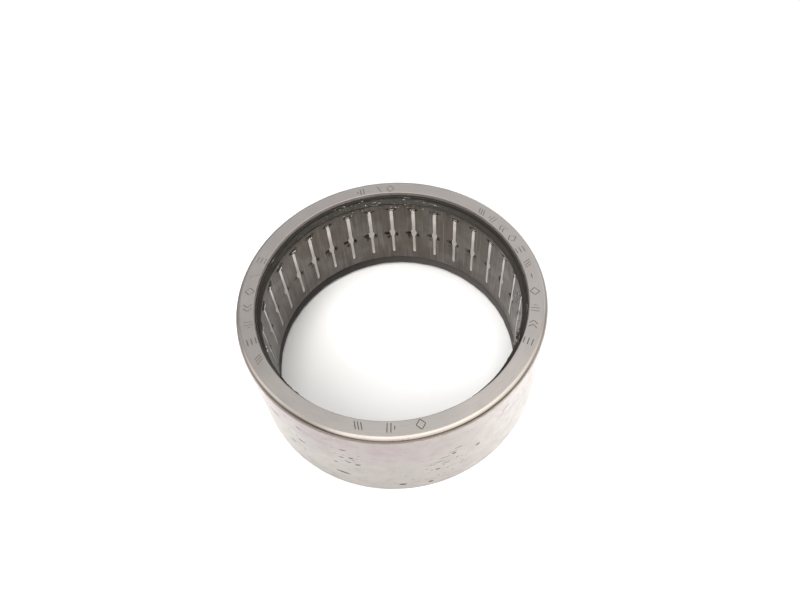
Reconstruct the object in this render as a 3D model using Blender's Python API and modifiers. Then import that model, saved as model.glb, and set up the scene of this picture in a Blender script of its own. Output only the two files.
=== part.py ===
"""Drawn-cup needle roller bearing, open ends, sealed on both sides.

Metres, +Z up. The bearing's axis is the world Z axis and its lower rim face
lies on Z = 0. Turned profiles are lists of (radius, z) points.
"""

import math

import bmesh
import bpy
from mathutils import Matrix, Vector

MM = 0.001

# ---------------------------------------------------------------- dimensions
BORE_D = 50.0 * MM  # circle inside the needles, the shaft's diameter
OUTER_D = 58.0 * MM  # outside of the cup
WIDTH = 24.0 * MM  # over both rim faces
MID_HEIGHT = WIDTH / 2

NEEDLE_D = 3.0 * MM
NEEDLE_LENGTH = 15.8 * MM
NEEDLE_END_CHAMFER = 0.3 * MM
NEEDLE_COUNT = 33
NEEDLE_SPACING = math.tau / NEEDLE_COUNT  # angle from one needle to the next
FIRST_NEEDLE_ANGLE = math.radians(13.62)
PITCH_RADIUS = (BORE_D + NEEDLE_D) / 2

RACEWAY_CLEARANCE = 0.04 * MM  # keeps the cup's facets off the needles
RACEWAY_RADIUS = BORE_D / 2 + NEEDLE_D + RACEWAY_CLEARANCE
LIP_THICKNESS = 0.9 * MM
LIP_BORE_RADIUS = 25.45 * MM
CUP_CORNER_RADIUS = 1.1 * MM
CUP_FILLET = 0.35 * MM  # inside, where the wall turns into the lip

SEAL_WIDTH = 2.0 * MM
SEAL_OUTER_RADIUS = 27.9 * MM
SEAL_BODY_RADIUS = 25.2 * MM  # inner side next to the lip of the cup
SEAL_BODY_TAPER = 0.12 * MM  # drop in radius from the lip side to mid-width
SEAL_TIP_RADIUS = 24.7 * MM  # rubs on the shaft
SEAL_TIP_START = 0.45 * MM  # the tip's two edges, measured from the needle side
SEAL_TIP_END = 0.15 * MM
SEAL_TIP_TAPER = 0.04 * MM  # rise in radius between those edges
SEAL_TIP_BEVEL = 0.3 * MM  # rise in radius from the tip to the needle side
SEAL_GAP = 0.05 * MM  # between the seal and the lip
SEAL_CHAMFER = 0.45 * MM  # clears the fillet inside the cup

CAGE_INNER_RADIUS = 25.12 * MM
CAGE_BAR_RADIUS = 26.0 * MM  # outside of the bars
CAGE_RIM_RADIUS = 27.7 * MM  # outside of the two end rims
CAGE_WIDTH = 17.7 * MM
CAGE_RIM_THICKNESS = 0.6 * MM

POCKET_END_CLEARANCE = 0.2 * MM
POCKET_LENGTH = NEEDLE_LENGTH + 2 * POCKET_END_CLEARANCE
POCKET_RADIUS = NEEDLE_D / 2 + 0.07 * MM
POCKET_MIDDLE_RADIUS = NEEDLE_D / 2 + 0.16 * MM  # wider at mid-length
POCKET_MIDDLE_LENGTH = 2.2 * MM

# ---------------------------------------------------------------- resolution
CORNER_STEPS = 5
CUP_STEPS = 96  # also for the seals
CAGE_STEPS = 4 * NEEDLE_COUNT  # the same facets at every pocket
NEEDLE_SIDES = 16  # also for the pocket cutters
MERGE_DISTANCE = 1e-6
SHARP_ANGLE = math.radians(35.0)  # steeper edges are shaded sharp
BEVEL_ANGLE = math.radians(60.0)  # steeper edges of a needle are chamfered


# ------------------------------------------------------------------- helpers
def clear_scene():
    for obj in list(bpy.data.objects):
        bpy.data.objects.remove(obj, do_unlink=True)
    for collection in list(bpy.data.collections):
        bpy.data.collections.remove(collection)


def make_collection(name):
    collection = bpy.data.collections.new(name)
    bpy.context.scene.collection.children.link(collection)
    return collection


def add_object(name, data, collection):
    """Links a new object; data is its mesh, or None for an empty."""
    obj = bpy.data.objects.new(name, data)
    collection.objects.link(obj)
    return obj


def mesh_from_bmesh(name, shape):
    """Turns a bmesh into a mesh and frees it."""
    mesh = bpy.data.meshes.new(name)
    shape.to_mesh(mesh)
    shape.free()
    return mesh


def shade_round_faces(mesh):
    mesh.shade_smooth()
    mesh.set_sharp_from_angle(angle=SHARP_ANGLE)


def mirrored(profile):
    """The profile flipped about mid-height, reversed so that it can follow on."""
    return [(radius, WIDTH - z) for radius, z in reversed(profile)]


def make_turned(name, profile, steps, collection, material):
    """A closed profile in the XZ plane, turned round Z by a screw modifier."""
    count = len(profile)
    mesh = bpy.data.meshes.new(name)
    mesh.from_pydata(
        [(radius, 0.0, z) for radius, z in profile],
        [(i, (i + 1) % count) for i in range(count)],
        [],
    )
    mesh.update()
    mesh.materials.append(material)
    obj = add_object(name, mesh, collection)

    screw = obj.modifiers.new("turned", "SCREW")
    screw.axis = "Z"
    screw.angle = math.tau
    screw.steps = steps
    screw.render_steps = steps
    screw.screw_offset = 0.0
    screw.use_merge_vertices = True
    screw.merge_threshold = MERGE_DISTANCE
    screw.use_smooth_shade = True
    return obj


def bake_smooth(obj):
    """Applies the modifiers, then shades the round faces smooth."""
    graph = bpy.context.evaluated_depsgraph_get()
    baked = bpy.data.meshes.new_from_object(obj.evaluated_get(graph))
    profile_mesh = obj.data
    obj.modifiers.clear()
    obj.data = baked
    baked.name = obj.name
    bpy.data.meshes.remove(profile_mesh)

    tidy = bmesh.new()
    tidy.from_mesh(baked)
    bmesh.ops.recalc_face_normals(tidy, faces=tidy.faces)
    tidy.to_mesh(baked)
    tidy.free()
    shade_round_faces(baked)


# ----------------------------------------------------------------- materials
def make_material(name, *, colour, metallic, roughness):
    material = bpy.data.materials.new(name)
    material.use_nodes = True
    shader = material.node_tree.nodes["Principled BSDF"]
    shader.inputs["Base Color"].default_value = (*colour, 1.0)
    shader.inputs["Metallic"].default_value = metallic
    shader.inputs["Roughness"].default_value = roughness
    material.diffuse_color = (*colour, 1.0)
    return material


def make_cup_steel():
    return make_material(
        "cup_steel", colour=(0.56, 0.54, 0.52), metallic=1.0, roughness=0.35
    )


def make_needle_steel():
    return make_material(
        "needle_steel", colour=(0.66, 0.65, 0.64), metallic=1.0, roughness=0.15
    )


def make_cage_steel():
    return make_material(
        "cage_steel", colour=(0.17, 0.155, 0.14), metallic=0.8, roughness=0.4
    )


def make_seal_rubber(side):
    return make_material(
        f"seal_rubber_{side}", colour=(0.022, 0.022, 0.024), metallic=0.0, roughness=0.5
    )


# --------------------------------------------------------------------- parts
def make_cup(collection):
    """Thin drawn shell: outer wall, raceway inside, a lip turned in at each end."""
    corner_x = OUTER_D / 2 - CUP_CORNER_RADIUS
    corner_z = WIDTH - CUP_CORNER_RADIUS
    upper_outside = [(LIP_BORE_RADIUS, WIDTH)]
    for i in range(CORNER_STEPS + 1):
        angle = math.pi / 2 * (1 - i / CORNER_STEPS)
        x = corner_x + CUP_CORNER_RADIUS * math.cos(angle)
        z = corner_z + CUP_CORNER_RADIUS * math.sin(angle)
        upper_outside.append((x, z))
    lower_inside = [
        (LIP_BORE_RADIUS, LIP_THICKNESS),
        (RACEWAY_RADIUS - CUP_FILLET, LIP_THICKNESS),
        (RACEWAY_RADIUS, LIP_THICKNESS + CUP_FILLET),
    ]
    profile = upper_outside + mirrored(upper_outside)
    profile += lower_inside + mirrored(lower_inside)
    return make_turned("drawn_cup", profile, CUP_STEPS, collection, make_cup_steel())


def make_seal(side, collection):
    """Rubber ring behind a lip of the cup, tapering to a tip that rubs on the shaft."""
    lip_side = LIP_THICKNESS + SEAL_GAP
    needle_side = lip_side + SEAL_WIDTH
    profile = [
        (SEAL_OUTER_RADIUS, needle_side),
        (SEAL_OUTER_RADIUS, lip_side + SEAL_CHAMFER),
        (SEAL_OUTER_RADIUS - SEAL_CHAMFER, lip_side),
        (SEAL_BODY_RADIUS, lip_side),
        (SEAL_BODY_RADIUS - SEAL_BODY_TAPER, lip_side + SEAL_WIDTH / 2),
        (SEAL_TIP_RADIUS, needle_side - SEAL_TIP_START),
        (SEAL_TIP_RADIUS + SEAL_TIP_TAPER, needle_side - SEAL_TIP_END),
        (SEAL_TIP_RADIUS + SEAL_TIP_BEVEL, needle_side),
    ]
    if side == "upper":
        profile = mirrored(profile)
    rubber = make_seal_rubber(side)
    return make_turned(f"seal_{side}", profile, CUP_STEPS, collection, rubber)


def make_pocket_cutter(name, radius, length, turn, collection):
    """One pocket's round prism, repeated round the axis once for each needle.

    The radius is measured to the flats; turn rotates the prism on its own axis.
    """
    corner_radius = radius / math.cos(math.pi / NEEDLE_SIDES)
    prism = bmesh.new()
    bmesh.ops.create_cone(
        prism,
        cap_ends=True,
        segments=NEEDLE_SIDES,
        radius1=corner_radius,
        radius2=corner_radius,
        depth=length,
        matrix=Matrix.Translation(Vector((PITCH_RADIUS, 0.0, 0.0)))
        @ Matrix.Rotation(turn, 4, "Z"),
    )
    cutter = add_object(name, mesh_from_bmesh(name, prism), collection)
    cutter.location = (0.0, 0.0, MID_HEIGHT)
    cutter.rotation_euler = (0.0, 0.0, FIRST_NEEDLE_ANGLE)
    cutter.display_type = "WIRE"
    cutter.hide_render = True

    # The empty sits one needle further round, which sets the array's step.
    step = add_object(f"{name}_step", None, collection)
    step.location = cutter.location
    step.rotation_euler = (0.0, 0.0, FIRST_NEEDLE_ANGLE + NEEDLE_SPACING)
    array = cutter.modifiers.new("pockets", "ARRAY")
    array.fit_type = "FIXED_COUNT"
    array.count = NEEDLE_COUNT
    array.use_relative_offset = False
    array.use_object_offset = True
    array.offset_object = step
    return cutter


def make_cage(collection, cutters):
    """One-piece sheet cage: bars near the bore between two deeper end rims."""
    top = (WIDTH + CAGE_WIDTH) / 2
    rim_underside = top - CAGE_RIM_THICKNESS
    upper_half = [
        (CAGE_INNER_RADIUS, top),
        (CAGE_RIM_RADIUS, top),
        (CAGE_RIM_RADIUS, rim_underside),
        (CAGE_BAR_RADIUS, rim_underside),
    ]
    profile = upper_half + mirrored(upper_half)
    cage = make_turned("cage", profile, CAGE_STEPS, collection, make_cage_steel())
    cage.rotation_euler = (0.0, 0.0, FIRST_NEEDLE_ANGLE)

    half_side = math.pi / NEEDLE_SIDES
    # name, radius, length, turn
    pocket_cuts = (
        ("pocket_cutter", POCKET_RADIUS, POCKET_LENGTH, 0.0),
        ("pocket_middle_cutter", POCKET_MIDDLE_RADIUS, POCKET_MIDDLE_LENGTH, half_side),
    )
    for name, radius, length, turn in pocket_cuts:
        cut = cage.modifiers.new(name, "BOOLEAN")
        cut.operation = "DIFFERENCE"
        cut.solver = "EXACT"
        cut.object = make_pocket_cutter(name, radius, length, turn, cutters)
    return cage


def make_needle_mesh():
    """One needle as a plain cylinder along Z, centred on its origin."""
    cylinder = bmesh.new()
    bmesh.ops.create_cone(
        cylinder,
        cap_ends=True,
        segments=NEEDLE_SIDES,
        radius1=NEEDLE_D / 2,
        radius2=NEEDLE_D / 2,
        depth=NEEDLE_LENGTH,
    )
    mesh = mesh_from_bmesh("needle_roller", cylinder)
    shade_round_faces(mesh)
    mesh.materials.append(make_needle_steel())
    return mesh


def make_needles(collection):
    """The rolling needles, sharing one mesh, each chamfered at its ends."""
    mesh = make_needle_mesh()
    for i in range(NEEDLE_COUNT):
        angle = FIRST_NEEDLE_ANGLE + i * NEEDLE_SPACING
        needle = add_object(f"needle_roller_{i + 1:02d}", mesh, collection)
        needle.location = (
            PITCH_RADIUS * math.cos(angle),
            PITCH_RADIUS * math.sin(angle),
            MID_HEIGHT,
        )
        needle.rotation_euler = (0.0, 0.0, angle)
        ends = needle.modifiers.new("ends", "BEVEL")
        ends.width = NEEDLE_END_CHAMFER
        ends.segments = 1
        ends.limit_method = "ANGLE"
        ends.angle_limit = BEVEL_ANGLE


def main():
    clear_scene()
    bearing = make_collection("needle_roller_bearing")
    cutters = make_collection("cutters")
    cutters.hide_render = True

    turned_parts = [
        make_cup(bearing),
        make_seal("upper", bearing),
        make_seal("lower", bearing),
        make_cage(bearing, cutters),
    ]
    make_needles(bearing)
    bpy.context.view_layer.update()
    for part in turned_parts:
        bake_smooth(part)


main()
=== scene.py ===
"""A sealed drawn-cup needle roller bearing standing on its lower face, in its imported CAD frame.

The bearing's axis is Z. The camera looks down from the front, which is -Y, and +X is right.
Angles are degrees anticlockwise round Z, from +X. Geometry is in metres, materials and grease
in millimetres.
"""

import math
import random
from functools import cached_property, reduce

import bmesh
import bpy
from mathutils import Matrix, Vector, noise


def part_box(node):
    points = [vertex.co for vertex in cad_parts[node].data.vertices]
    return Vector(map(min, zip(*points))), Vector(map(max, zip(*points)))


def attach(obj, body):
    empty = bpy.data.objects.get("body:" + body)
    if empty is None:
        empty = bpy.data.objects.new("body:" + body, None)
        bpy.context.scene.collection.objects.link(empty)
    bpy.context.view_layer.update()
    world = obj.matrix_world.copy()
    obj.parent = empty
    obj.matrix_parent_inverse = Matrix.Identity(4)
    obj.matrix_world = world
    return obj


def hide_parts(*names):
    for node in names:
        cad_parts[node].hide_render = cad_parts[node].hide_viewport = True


MM = 0.001
TAU = math.tau

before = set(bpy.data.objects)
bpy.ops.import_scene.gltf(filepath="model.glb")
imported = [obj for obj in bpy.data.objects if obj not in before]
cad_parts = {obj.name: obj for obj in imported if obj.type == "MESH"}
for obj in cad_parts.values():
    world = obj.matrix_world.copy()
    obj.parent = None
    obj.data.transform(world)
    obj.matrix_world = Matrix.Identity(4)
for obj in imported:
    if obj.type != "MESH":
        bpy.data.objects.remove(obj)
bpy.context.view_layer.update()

# ------------------------------------------------------------------ dimensions
cup_low, cup_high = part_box("drawn_cup")
OUTER_R = cup_high[0]
Z_BOTTOM, Z_TOP = cup_low[2], cup_high[2]
Z_MID = 0.5 * (Z_BOTTOM + Z_TOP)
LIP_R = 25.45 * MM  # bore of the cup's upper lip
LIP_THICKNESS = 0.9 * MM
CORNER_R = 1.05 * MM
RACEWAY_R = 28.04 * MM

needle_names = sorted(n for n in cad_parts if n.startswith("needle_roller_"))
NEEDLES = len(needle_names)
STEP = TAU / NEEDLES
needle_low, needle_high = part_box(needle_names[0])
first_centre = Vector([0.5 * (needle_low[i] + needle_high[i]) for i in range(3)])
FIRST_ANGLE = math.atan2(first_centre.y, first_centre.x)
PITCH_R = math.hypot(first_centre.x, first_centre.y)
NEEDLE_R = 1.5 * MM
NEEDLE_HALF = 0.5 * (needle_high[2] - needle_low[2])

CAGE_R = 25.02 * MM  # bore
CAGE_BAR_R = 26.0 * MM  # outside of the bars between the rims
CAGE_RIM_R = 27.7 * MM
CAGE_HALF = 8.95 * MM
# Pocket ends, from the middle of the cage.
POCKET_TOP = 6.95 * MM
POCKET_BOTTOM = -6.75 * MM
SAG = 0.3 * MM  # cage and needles rest a little below the middle, by their axial play
CAGE_Z = Z_MID - SAG
MARKED_AND_SHADED_SIDE = 99.0  # degrees; the cage's staking marks are deepest here, and its grime and painted shade heaviest

SEAL_OUTER_R = 27.9 * MM
SEAL_BODY_R = 25.2 * MM
SEAL_FACE = LIP_THICKNESS + 0.05 * MM  # depth of the seal's outer face in the cup
SEAL_CHAMFER = 0.45 * MM
UPPER_SEAL_DEPTH = 2.0 * MM
LOWER_SEAL_DEPTH = 1.62 * MM
UPPER_TIP_R = 24.58 * MM
LOWER_TIP_R = 24.815 * MM
# How far each seal's lip leans in x and y, in millimetres.
UPPER_LEAN = (-0.16, -0.10)
LOWER_LEAN = (-0.165, -0.155)


def needle_angle(index):
    return FIRST_ANGLE + index * STEP


# ---------------------------------------------------------------- mesh helpers
def recalculate_normals(mesh):
    bm = bmesh.new()
    bm.from_mesh(mesh)
    bmesh.ops.recalc_face_normals(bm, faces=bm.faces)
    bm.to_mesh(mesh)
    bm.free()


def smooth(mesh, sharp_angle):
    mesh.shade_smooth()
    mesh.set_sharp_from_angle(angle=math.radians(sharp_angle))


def link_object(name, mesh):
    obj = bpy.data.objects.new(name, mesh)
    bpy.context.scene.collection.objects.link(obj)
    return obj


def mesh_object(name, verts, faces):
    mesh = bpy.data.meshes.new(name)
    mesh.from_pydata([tuple(v) for v in verts], [], [tuple(f) for f in faces])
    mesh.update()
    obj = link_object(name, mesh)
    recalculate_normals(mesh)
    return obj


def bmesh_object(name, build):
    """An object from a function that adds geometry to a bmesh."""
    bm = bmesh.new()
    build(bm)
    mesh = bpy.data.meshes.new(name)
    bm.to_mesh(mesh)
    bm.free()
    return link_object(name, mesh)


def lathe(name, profile, steps, sharp_angle=35.0):
    """Turn a closed (radius, z) profile round Z. A point at radius 0 becomes a pole."""
    verts, faces, rings = [], [], []
    for radius, z in profile:
        if radius < 1e-9:
            rings.append([len(verts)] * steps)
            verts.append((0.0, 0.0, z))
            continue
        rings.append(range(len(verts), len(verts) + steps))
        for k in range(steps):
            turn = TAU * k / steps
            verts.append((radius * math.cos(turn), radius * math.sin(turn), z))
    for here, there in zip(rings, rings[1:] + rings[:1]):
        if here[0] == here[1] and there[0] == there[1]:
            continue
        for k in range(steps):
            after = (k + 1) % steps
            corners = (here[k], here[after], there[after], there[k])
            # At a pole two corners are the same point, and the face is a triangle.
            faces.append(list(dict.fromkeys(corners)))
    obj = mesh_object(name, verts, faces)
    smooth(obj.data, sharp_angle)
    return obj


def arc(centre_x, centre_y, radius, start, end, steps):
    """Points on an arc from start to end, in degrees, both included."""
    points = []
    for i in range(steps + 1):
        angle = math.radians(start + (end - start) * i / steps)
        points.append(
            (centre_x + radius * math.cos(angle), centre_y + radius * math.sin(angle))
        )
    return points


def between(start, end, pieces):
    """Points that divide the line from start to end, neither end included."""
    return [
        (
            start[0] + (end[0] - start[0]) * i / pieces,
            start[1] + (end[1] - start[1]) * i / pieces,
        )
        for i in range(1, pieces)
    ]


def prism(bm, near, far):
    """A closed prism between two matching rings of points."""
    near = [bm.verts.new(point) for point in near]
    far = [bm.verts.new(point) for point in far]
    for i in range(len(near)):
        j = (i + 1) % len(near)
        bm.faces.new((near[i], near[j], far[j], far[i]))
    bm.faces.new(tuple(reversed(near)))
    bm.faces.new(tuple(far))


def remove_object(obj):
    mesh = obj.data
    bpy.data.objects.remove(obj, do_unlink=True)
    bpy.data.meshes.remove(mesh)


def cut(target, cutter):
    """Take the cutter's shape out of the target, and delete the cutter."""
    modifier = target.modifiers.new("cut", "BOOLEAN")
    modifier.operation = "DIFFERENCE"
    modifier.solver = "EXACT"
    modifier.object = cutter
    graph = bpy.context.evaluated_depsgraph_get()
    mesh = bpy.data.meshes.new_from_object(target.evaluated_get(graph))
    uncut = target.data
    target.modifiers.clear()
    target.data = mesh
    bpy.data.meshes.remove(uncut)
    mesh.name = target.name
    smooth(mesh, 35.0)
    remove_object(cutter)


# -------------------------------------------------------------- shader helpers
class Value:
    """An output in a node tree. Arithmetic on it adds Math nodes."""

    def __init__(self, nodes, socket):
        self.nodes = nodes
        self.socket = socket

    def __add__(self, other):
        return self.nodes.math("ADD", self, other)

    def __radd__(self, other):
        return self.nodes.math("ADD", other, self)

    def __sub__(self, other):
        return self.nodes.math("SUBTRACT", self, other)

    def __rsub__(self, other):
        return self.nodes.math("SUBTRACT", other, self)

    def __mul__(self, other):
        return self.nodes.math("MULTIPLY", self, other)

    def __truediv__(self, other):
        return self.nodes.math("DIVIDE", self, other)

    def __abs__(self):
        return self.nodes.math("ABSOLUTE", self)

    def ease(self, over, to=(0.0, 1.0)):
        """Goes smoothly from to[0] to to[1] while this value goes from over[0] to over[1]."""
        return self.nodes.value(
            "ShaderNodeMapRange",
            dict(enumerate((self, *over, *to))),
            interpolation_type="SMOOTHSTEP",
        )


class NodeTree:
    """A short way to write a node tree."""

    def __init__(self, tree):
        self.tree = tree
        tree.nodes.clear()

    def add(self, kind, values=None, **settings):
        """A node with its settings, and its inputs linked to Values or set to constants."""
        node = self.tree.nodes.new(kind)
        for key, setting in settings.items():
            setattr(node, key, setting)
        for key, value in (values or {}).items():
            if isinstance(value, Value):
                self.tree.links.new(value.socket, node.inputs[key])
            else:
                node.inputs[key].default_value = value
        return node

    def value(self, kind, values=None, output=0, **settings):
        return Value(self, self.add(kind, values, **settings).outputs[output])

    def math(self, operation, *values, clamp=False):
        return self.value(
            "ShaderNodeMath", dict(enumerate(values)), operation=operation, use_clamp=clamp
        )

    def highest(self, values):
        return reduce(lambda one, other: self.math("MAXIMUM", one, other), values)

    def split(self, vector, kind="ShaderNodeSeparateXYZ"):
        return [Value(self, socket) for socket in self.add(kind, {0: vector}).outputs]

    def scaled(self, vector, by):
        return self.value("ShaderNodeVectorMath", {0: vector, "Scale": by}, operation="SCALE")

    def mix(self, low, high, by, blend_type="MIX"):
        """Colour low where by is 0 and high where it is 1; constants are linear RGB."""
        low, high = [(*c, 1.0) if isinstance(c, tuple) else c for c in (low, high)]
        return self.value(
            "ShaderNodeMix", {0: by, 6: low, 7: high}, output=2,
            data_type="RGBA", blend_type=blend_type,
        )

    def colour_ramp(self, by, stops):
        """A linear colour ramp through (position, RGB) stops."""
        node = self.add("ShaderNodeValToRGB", {0: by})
        ramp = node.color_ramp
        ramp.interpolation = "LINEAR"
        while len(ramp.elements) < len(stops):
            ramp.elements.new(0.5)
        for element, (position, colour) in zip(ramp.elements, stops):
            element.position = position
            element.color = (*colour, 1.0)
        return Value(self, node.outputs[0])


class Surface(NodeTree):
    """A material's tree, with object coordinates in millimetres."""

    NOMINAL_R = 29.0  # radius at which lengths round the axis are true

    def __init__(self, name):
        self.material = bpy.data.materials.new(name)
        self.material.use_nodes = True
        super().__init__(self.material.node_tree)

    @cached_property
    def point(self):
        return self.scaled(self.value("ShaderNodeTexCoord", output="Object"), by=1000.0)

    @cached_property
    def xyz(self):
        return self.split(self.point)

    @cached_property
    def radius(self):
        x, y, _ = self.xyz
        return self.math("SQRT", x * x + y * y)

    @cached_property
    def angle(self):
        x, y, _ = self.xyz
        return self.math("ARCTAN2", y, x)

    def vector(self, x, y, z):
        return self.value("ShaderNodeCombineXYZ", {0: x, 1: y, 2: z})

    def stretched(self, along, up, out):
        """A texture vector at so many cycles per mm round the axis, up it and along the radius.

        The circumference is closed by taking the direction's sine and cosine."""
        reach = self.NOMINAL_R * along
        z = self.xyz[2]
        return self.vector(
            self.math("COSINE", self.angle) * reach,
            self.math("SINE", self.angle) * reach,
            z * up + self.radius * out,
        )

    def noise(self, at=None, scale=1.0, detail=4.0, roughness=0.6, distortion=0.0):
        return self.value(
            "ShaderNodeTexNoise",
            {
                "Vector": at or self.point,
                "Scale": scale,
                "Detail": detail,
                "Roughness": roughness,
                "Distortion": distortion,
            },
        )

    def relief(self, *layers):
        """Bumps laid one over another. Each is (height, distance in mm, strength)."""
        normal = None
        for height, distance, strength in layers:
            values = {"Height": height, "Distance": distance * MM, "Strength": strength}
            if normal:
                values["Normal"] = normal
            normal = self.value("ShaderNodeBump", values)
        return normal

    def spot(self, degrees, height, half_along, half_up, tilt):
        """1 inside an ellipse on the outer wall, fading to 0 at its edge."""
        centre = math.radians(degrees)
        # Signed distance from the spot's centre, without a seam.
        along = self.math("SINE", self.angle - centre) * self.NOMINAL_R
        facing = self.math("COSINE", self.angle - centre)
        up = self.xyz[2] - height
        cosine, sine = math.cos(math.radians(tilt)), math.sin(math.radians(tilt))
        across = along * (cosine / half_along) + up * (sine / half_along)
        upward = along * (-sine / half_up) + up * (cosine / half_up)
        inside = (across * across + upward * upward).ease(over=(1.5, 0.6))
        return inside * self.math("GREATER_THAN", facing, 0.5)

    def finish(self, values):
        """Put the values in a Principled shader, and give the finished material."""
        self.add("ShaderNodeOutputMaterial", {0: self.value("ShaderNodeBsdfPrincipled", values)})
        return self.material


# ------------------------------------------------------------------- materials
# Dark scuffs on the outer wall: degrees, height, half length and half width in mm, tilt.
SCUFFS = (
    (223.0, 17.3, 1.25, 0.26, -8.0), (235.5, 19.3, 0.60, 0.22, -15.0),
    (228.8, 9.3, 0.60, 0.26, -20.0), (234.3, 12.8, 0.65, 0.24, -18.0),
    (249.5, 6.3, 1.35, 0.34, -6.0), (252.0, 17.9, 0.60, 0.20, 12.0),
    (254.2, 14.9, 0.50, 0.22, 20.0), (250.6, 14.2, 0.45, 0.20, 0.0),
    (256.2, 12.2, 0.60, 0.22, 30.0), (253.0, 12.6, 0.45, 0.20, -10.0),
    (247.8, 11.0, 0.40, 0.20, 0.0), (299.5, 11.8, 0.45, 0.32, 0.0),
    (290.0, 13.3, 0.40, 0.30, 0.0), (284.0, 8.3, 0.45, 0.28, 0.0),
    (281.3, 2.8, 0.50, 0.32, 0.0), (271.0, 3.5, 0.70, 0.34, 0.0),
    (284.5, 11.6, 0.95, 0.10, 4.0), (286.5, 12.9, 1.10, 0.10, 3.0),
    (289.5, 14.2, 0.90, 0.10, 5.0), (291.5, 15.2, 0.70, 0.12, 3.0),
    (287.0, 10.2, 0.80, 0.10, -4.0), (311.0, 19.0, 1.00, 0.14, 30.0),
    (309.0, 17.2, 1.20, 0.10, 28.0), (40.0, 12.0, 0.9, 0.2, 12.0),
    (63.0, 17.0, 0.5, 0.24, -10.0), (98.0, 6.5, 0.9, 0.2, 6.0),
    (121.0, 14.5, 0.5, 0.24, 0.0), (151.0, 9.0, 1.0, 0.18, -10.0),
    (176.0, 16.5, 0.5, 0.24, 0.0), (203.0, 5.5, 0.8, 0.22, 14.0),
    (345.0, 8.0, 0.7, 0.24, 0.0), (12.0, 5.0, 0.5, 0.26, 20.0),
)

# Patches of fine pitting on the front of the wall, with the same columns.
PITTED = (
    (252.5, 15.6, 2.6, 4.6, 0.0),
    (286.5, 8.5, 4.2, 6.5, 0.0),
    (232.0, 11.5, 2.6, 5.0, 0.0),
)


def cup_wall_colour(steel, patch):
    """The outer wall: clouded, with painted shade on its upper part, painted light low on the left
    and right sides, and a painted shade patch high on the front left.
    """
    x, y, z = steel.xyz
    # Painted shade: the upper part of the wall is darker than the lower.
    upper = z.ease(over=(9.0, 20.0))
    # Painted light: the lower wall is paler low on the left and right sides.
    lower_part_lit_at_sides = steel.mix(
        low=steel.mix(low=(0.302, 0.272, 0.262), high=(0.288, 0.274, 0.256), by=patch),
        high=(0.345, 0.318, 0.302),  # paler low on the left and right sides
        by=abs(x).ease(over=(15.5, 20.5)) * z.ease(over=(9.0, 3.0), to=(0.0, 0.9)),
    )
    shaded_upper_part = steel.mix(
        low=steel.mix(low=(0.262, 0.223, 0.230), high=(0.280, 0.248, 0.246), by=patch),
        high=steel.mix(low=(0.250, 0.222, 0.214), high=(0.268, 0.243, 0.233), by=patch),
        by=x.ease(over=(4.0, 11.0)),
    )
    wall = steel.mix(low=lower_part_lit_at_sides, high=shaded_upper_part, by=upper * 0.9)
    # A painted shade patch, high on the front left.
    painted_shade_patch = (x.ease(over=(-20.0, -14.5)) * x.ease(over=(-8.0, -14.5))) * (
        upper * y.ease(over=(-5.0, -15.0))
    )
    return steel.mix(low=wall, high=(0.184, 0.160, 0.158), by=painted_shade_patch * 0.5)


def cup_rim_colour(steel, patch):
    """The flat faces, with painted light at the front right and painted shade at the left."""
    x, y, _ = steel.xyz
    rim = steel.mix(low=(0.446, 0.420, 0.410), high=(0.456, 0.438, 0.424), by=patch)
    painted_light_front_right = (x.ease(over=(7.0, 13.0)) * x.ease(over=(26.0, 21.0))) * y.ease(
        over=(-10.0, -17.0), to=(0.0, 0.9)
    )
    rim = steel.mix(low=rim, high=(0.512, 0.482, 0.468), by=painted_light_front_right)
    painted_shade_left = (y.ease(over=(0.0, -6.0)) * y.ease(over=(-20.0, -14.0))) * x.ease(
        over=(-18.0, -23.0), to=(0.0, 0.8)
    )
    return steel.mix(low=rim, high=(0.400, 0.380, 0.368), by=painted_shade_left)


def cup_pits(steel, face):
    """Fine pitting in loose patches on the wall."""
    distance = steel.value(
        "ShaderNodeTexVoronoi",
        {
            "Vector": steel.stretched(along=0.62, up=1.0, out=0.0),
            "Scale": 1.0,
            "Randomness": 1.0,
        },
        output="Distance",
        feature="F1",
    )
    scattered = steel.noise(scale=0.13, detail=2.0, roughness=0.5)
    patches = [scattered.ease(over=(0.54, 0.64), to=(0.0, 0.6))]
    patches += [steel.spot(*patch) for patch in PITTED]
    return distance.ease(over=(0.25, 0.11)) * steel.highest(patches) * (1.0 - face)


def cup_scuffs(steel):
    """Short dark handling marks on the wall, mostly along the circumference."""
    scuffs = steel.highest([steel.spot(*scuff) for scuff in SCUFFS])
    broken = steel.noise(scale=3.0, roughness=0.7).ease(over=(0.28, 0.46), to=(0.45, 1.0))
    return scuffs * broken


def cup_scratches(steel, face):
    """Thin bright scratches on the wall."""
    at = steel.vector(
        x=steel.angle * 9.0, y=steel.xyz[2] * 3.2 + steel.angle * 26.0, z=0.0
    )
    scratch = steel.noise(at=at, detail=6.0, roughness=0.75)
    return scratch.ease(over=(0.64, 0.70)) * (1.0 - face)


def cup_corner(steel):
    """1 on the rounded outer corners."""
    margins = (-0.05, 0.15)
    corner_height = (Z_TOP - Z_MID) / MM - CORNER_R / MM
    corner_radius = (OUTER_R - CORNER_R) / MM
    height = abs(steel.xyz[2] - Z_MID / MM)
    return height.ease(over=[corner_height + m for m in margins]) * steel.radius.ease(
        over=[corner_radius + m for m in margins]
    )


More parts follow.
